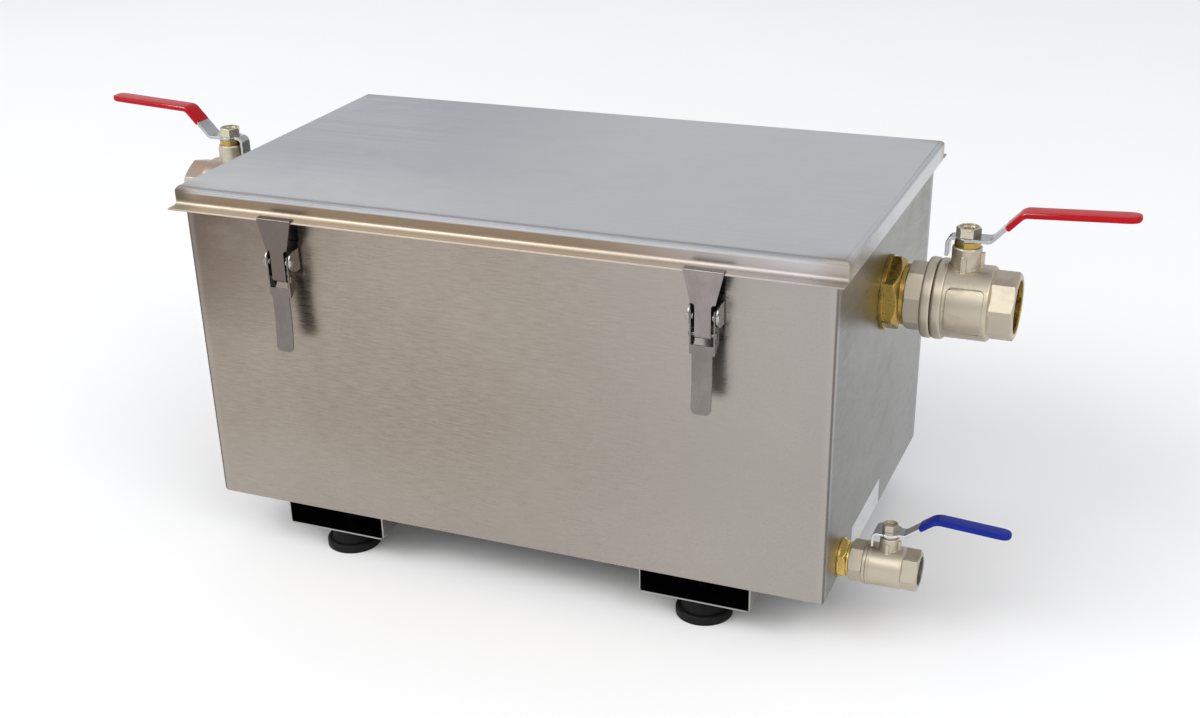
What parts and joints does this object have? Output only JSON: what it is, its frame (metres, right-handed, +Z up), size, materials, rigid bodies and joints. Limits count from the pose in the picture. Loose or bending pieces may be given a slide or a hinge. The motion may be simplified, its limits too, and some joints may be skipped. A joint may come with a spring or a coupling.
{
  "type": "grease trap",
  "caption": "Rectangular stainless grease trap on rubber feet, with a latched lid, a baffled tank, lever ball valves at inlet and outlet, and a small drain valve.",
  "frame": {"origin": "on the floor under the middle of the tank", "axes": "+X along the tank towards the outlet, -Y to the front with the visible latches, +Z up"},
  "size_m": [0.976, 0.3738, 0.3734],
  "materials": {
    "tank_steel": "fine horizontal brushed grain, warm grey",
    "lid_steel": "fine matt grain, cool grey",
    "inner_steel": "mill finish",
    "channel_steel": "mill finish",
    "latch_steel": "satin pressed sheet",
    "fastener_steel": "bright",
    "handle_steel": "bright zinc plate",
    "nickel": "satin nickel plate over cast brass",
    "nut_plate": "bright plate",
    "ball_chrome": "polished",
    "brass": "turned",
    "red_vinyl": "dipped vinyl",
    "blue_vinyl": "dipped vinyl",
    "foot_rubber": "moulded",
    "seal_rubber": "closed-cell strip",
    "ptfe": "turned"
  },
  "bodies": {
    "tank": {"tank_wrap": "tank_steel", "front_panel": "tank_steel", "rear_panel": "tank_steel", "lid": "lid_steel", "lid_seal": "seal_rubber", "channel_left": "channel_steel", "channel_right": "channel_steel", "rubber_feet": "foot_rubber", "foot_bolts": "fastener_steel", "foot_nuts": "fastener_steel", "latch_rivets": "fastener_steel", "latch_base_front_left": "latch_steel", "latch_base_front_right": "latch_steel", "latch_base_rear_left": "latch_steel", "latch_base_rear_right": "latch_steel", "inlet_bushing": "brass", "outlet_bushing": "brass", "drain_bushing": "brass", "wall_washers": "seal_rubber", "backnuts": "brass", "inlet_valve_cap": "nickel", "inlet_valve_body": "nickel", "inlet_seats": "ptfe", "inlet_gland": "brass", "outlet_valve_cap": "nickel", "outlet_valve_body": "nickel", "outlet_seats": "ptfe", "outlet_gland": "brass", "drain_valve_cap": "nickel", "drain_valve_body": "nickel", "drain_seats": "ptfe", "drain_gland": "brass", "inlet_baffle": "inner_steel", "outlet_baffle": "inner_steel", "solids_basket": "inner_steel"},
    "inlet_handle": {"inlet_ball": "ball_chrome", "inlet_stem": "brass", "inlet_handle": "handle_steel", "inlet_grip": "red_vinyl", "inlet_handle_nut": "nut_plate"},
    "outlet_handle": {"outlet_ball": "ball_chrome", "outlet_stem": "brass", "outlet_handle": "handle_steel", "outlet_grip": "red_vinyl", "outlet_handle_nut": "nut_plate"},
    "drain_handle": {"drain_ball": "ball_chrome", "drain_stem": "brass", "drain_handle": "handle_steel", "drain_grip": "blue_vinyl", "drain_handle_nut": "nut_plate"},
    "lever_front_left": {"latch_lever_front_left": "latch_steel"},
    "hook_front_left": {"latch_hook_front_left": "latch_steel"},
    "lever_front_right": {"latch_lever_front_right": "latch_steel"},
    "hook_front_right": {"latch_hook_front_right": "latch_steel"},
    "lever_rear_left": {"latch_lever_rear_left": "latch_steel"},
    "hook_rear_left": {"latch_hook_rear_left": "latch_steel"},
    "lever_rear_right": {"latch_lever_rear_right": "latch_steel"},
    "hook_rear_right": {"latch_hook_rear_right": "latch_steel"}
  },
  "joints": [
    {"name": "inlet_valve_turn", "type": "hinge", "parent": "tank", "child": "inlet_handle", "pos_m": [-0.356, 0, 0.286], "axis": [0, 0, 1], "range_deg": [-90, 0]},
    {"name": "outlet_valve_turn", "type": "hinge", "parent": "tank", "child": "outlet_handle", "pos_m": [0.356, 0, 0.261], "axis": [0, 0, 1], "range_deg": [-90, 0]},
    {"name": "drain_valve_turn", "type": "hinge", "parent": "tank", "child": "drain_handle", "pos_m": [0.3325, -0.114, 0.0645], "axis": [0, 0, 1], "range_deg": [-90, 0]},
    {"name": "lever_front_left_swing", "type": "hinge", "parent": "tank", "child": "lever_front_left", "pos_m": [-0.1915, -0.1812, 0.2936], "axis": [-1, 0, 0], "range_deg": [0, 120]},
    {"name": "hook_front_left_swing", "type": "hinge", "parent": "lever_front_left", "child": "hook_front_left", "pos_m": [-0.1915, -0.1804, 0.2786], "axis": [-1, 0, 0], "range_deg": [-120, 0]},
    {"name": "lever_front_right_swing", "type": "hinge", "parent": "tank", "child": "lever_front_right", "pos_m": [0.1915, -0.1812, 0.2936], "axis": [-1, 0, 0], "range_deg": [0, 120]},
    {"name": "hook_front_right_swing", "type": "hinge", "parent": "lever_front_right", "child": "hook_front_right", "pos_m": [0.1915, -0.1804, 0.2786], "axis": [-1, 0, 0], "range_deg": [-120, 0]},
    {"name": "lever_rear_left_swing", "type": "hinge", "parent": "tank", "child": "lever_rear_left", "pos_m": [-0.1915, 0.1812, 0.2936], "axis": [1, 0, 0], "range_deg": [0, 120]},
    {"name": "hook_rear_left_swing", "type": "hinge", "parent": "lever_rear_left", "child": "hook_rear_left", "pos_m": [-0.1915, 0.1804, 0.2786], "axis": [1, 0, 0], "range_deg": [-120, 0]},
    {"name": "lever_rear_right_swing", "type": "hinge", "parent": "tank", "child": "lever_rear_right", "pos_m": [0.1915, 0.1812, 0.2936], "axis": [1, 0, 0], "range_deg": [0, 120]},
    {"name": "hook_rear_right_swing", "type": "hinge", "parent": "lever_rear_right", "child": "hook_rear_right", "pos_m": [0.1915, 0.1804, 0.2786], "axis": [1, 0, 0], "range_deg": [-120, 0]}
  ],
  "couplings": [
    {"joint": "hook_front_left_swing", "follows": "lever_front_left_swing", "ratio": -1},
    {"joint": "hook_front_right_swing", "follows": "lever_front_right_swing", "ratio": -1},
    {"joint": "hook_rear_left_swing", "follows": "lever_rear_left_swing", "ratio": -1},
    {"joint": "hook_rear_right_swing", "follows": "lever_rear_right_swing", "ratio": -1}
  ]
}
